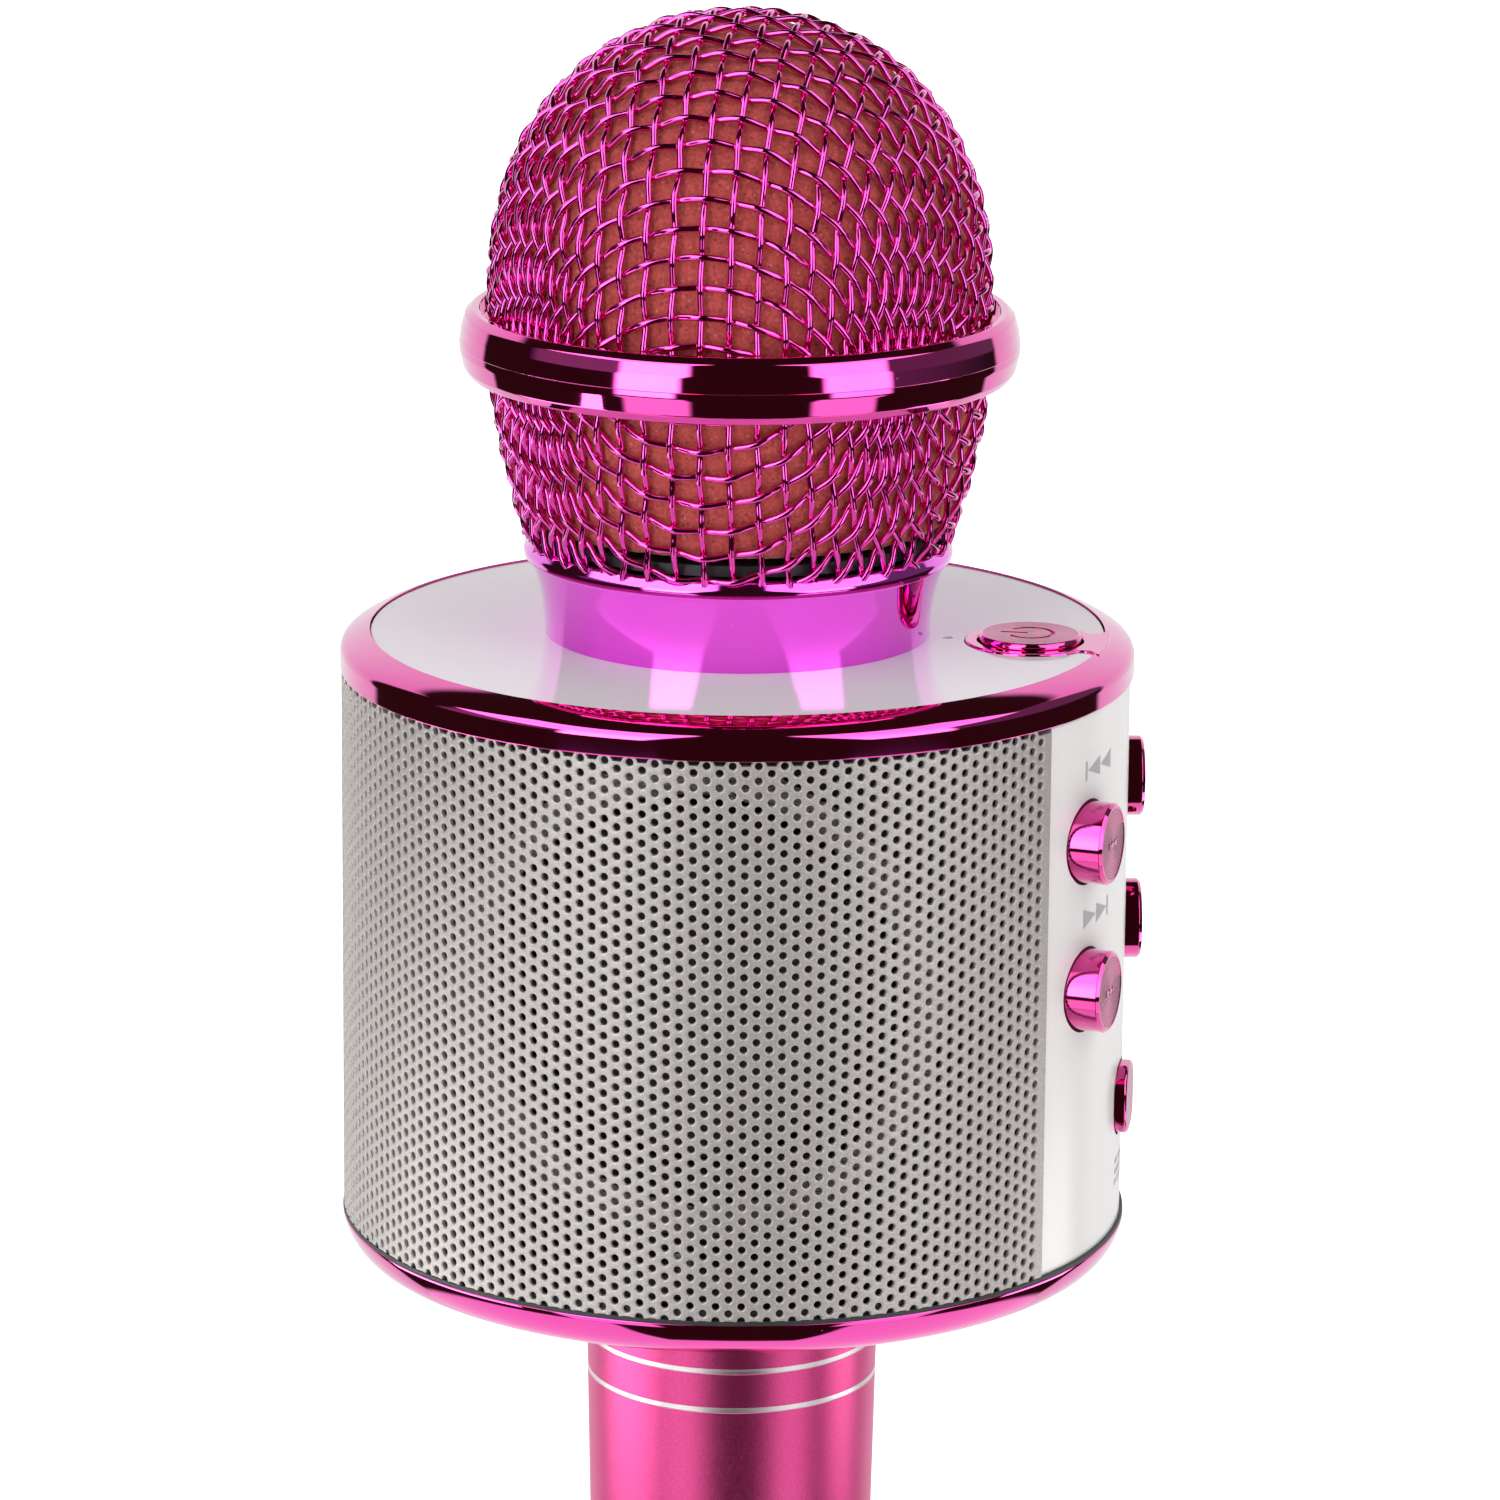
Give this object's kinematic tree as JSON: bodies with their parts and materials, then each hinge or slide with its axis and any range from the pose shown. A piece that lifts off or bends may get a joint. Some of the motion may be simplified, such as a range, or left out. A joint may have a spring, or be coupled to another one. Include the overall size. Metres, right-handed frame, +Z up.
{
  "type": "karaoke microphone",
  "caption": "Hand-held karaoke microphone with a woven-mesh head, a drum-shaped loudspeaker body with a button panel, and a tapered metal handle.",
  "frame": {"origin": "centre of the flat tail face of the handle", "axes": "+Z up along the axis from the tail to the crown of the head; -Y is the front grille, +X the control panel, -X the socket panel"},
  "size_m": [0.0837, 0.083, 0.245],
  "materials": {
    "magenta_plating": "polished",
    "pink_anodised": "satin",
    "cover_paint": "gloss",
    "grille_paint": "satin",
    "mesh_wire": "polished",
    "white_gloss": "gloss",
    "foam": "matte",
    "black_plastic": "matte",
    "bright_steel": "satin",
    "speaker_cone": "matte",
    "black_rubber": "matte",
    "ferrite": "matte",
    "circuit_board": "satin",
    "cell_sleeve": "satin",
    "clear_lens": "gloss"
  },
  "bodies": {
    "microphone": {"top_bezel": "magenta_plating", "bottom_bezel": "magenta_plating", "collar": "magenta_plating", "head_band": "magenta_plating", "handle_tube": "pink_anodised", "tail_cap": "pink_anodised", "handle_adapter": "pink_anodised", "bottom_cover": "cover_paint", "front_grille": "grille_paint", "back_grille": "grille_paint", "mesh_dome": "mesh_wire", "mesh_cup": "mesh_wire", "top_plate": "white_gloss", "control_panel": "white_gloss", "socket_panel": "white_gloss", "foam_liner": "foam", "chassis": "black_plastic", "battery_cradle": "black_plastic", "head_base": "black_plastic", "skip_back_switch": "black_plastic", "skip_forward_switch": "black_plastic", "volume_down_switch": "black_plastic", "volume_up_switch": "black_plastic", "mode_switch": "black_plastic", "power_switch": "black_plastic", "battery_contact": "bright_steel", "battery_spring": "bright_steel", "front_speaker_basket": "bright_steel", "back_speaker_basket": "bright_steel", "mic_capsule": "bright_steel", "data_socket": "bright_steel", "card_socket": "bright_steel", "charge_socket": "bright_steel", "audio_socket": "bright_steel", "cover_screw_1": "bright_steel", "cover_screw_2": "bright_steel", "cover_screw_3": "bright_steel", "cover_screw_4": "bright_steel", "front_speaker_cone": "speaker_cone", "back_speaker_cone": "speaker_cone", "front_speaker_surround": "black_rubber", "back_speaker_surround": "black_rubber", "capsule_holder": "black_rubber", "front_speaker_magnet": "ferrite", "back_speaker_magnet": "ferrite", "main_board": "circuit_board", "control_board": "circuit_board", "socket_board": "circuit_board", "power_board": "circuit_board", "battery_cell": "cell_sleeve", "indicator_lens": "clear_lens"},
    "skip_back_button_body": {"skip_back_button": "magenta_plating"},
    "skip_forward_button_body": {"skip_forward_button": "magenta_plating"},
    "volume_down_button_body": {"volume_down_button": "magenta_plating"},
    "volume_up_button_body": {"volume_up_button": "magenta_plating"},
    "mode_button_body": {"mode_button": "magenta_plating"},
    "power_button_body": {"power_button": "magenta_plating"}
  },
  "joints": [
    {"name": "skip_back_press", "type": "slide", "parent": "microphone", "child": "skip_back_button_body", "axis": [-0.9823, 0.1874, 0], "range_m": [0, 0.0005], "stiffness_N_per_m": 3000, "springref_m": -0.0002},
    {"name": "skip_forward_press", "type": "slide", "parent": "microphone", "child": "skip_forward_button_body", "axis": [-0.9823, 0.1874, 0], "range_m": [0, 0.0005], "stiffness_N_per_m": 3000, "springref_m": -0.0002},
    {"name": "volume_down_press", "type": "slide", "parent": "microphone", "child": "volume_down_button_body", "axis": [-0.9823, -0.1874, 0], "range_m": [0, 0.0005], "stiffness_N_per_m": 3000, "springref_m": -0.0002},
    {"name": "volume_up_press", "type": "slide", "parent": "microphone", "child": "volume_up_button_body", "axis": [-0.9823, -0.1874, 0], "range_m": [0, 0.0005], "stiffness_N_per_m": 3000, "springref_m": -0.0002},
    {"name": "mode_press", "type": "slide", "parent": "microphone", "child": "mode_button_body", "axis": [-1, 0, 0], "range_m": [0, 0.0005], "stiffness_N_per_m": 3000, "springref_m": -0.0002},
    {"name": "power_press", "type": "slide", "parent": "microphone", "child": "power_button_body", "axis": [0, 0, -1], "range_m": [0, 0.0005], "stiffness_N_per_m": 3000, "springref_m": -0.0002}
  ]
}
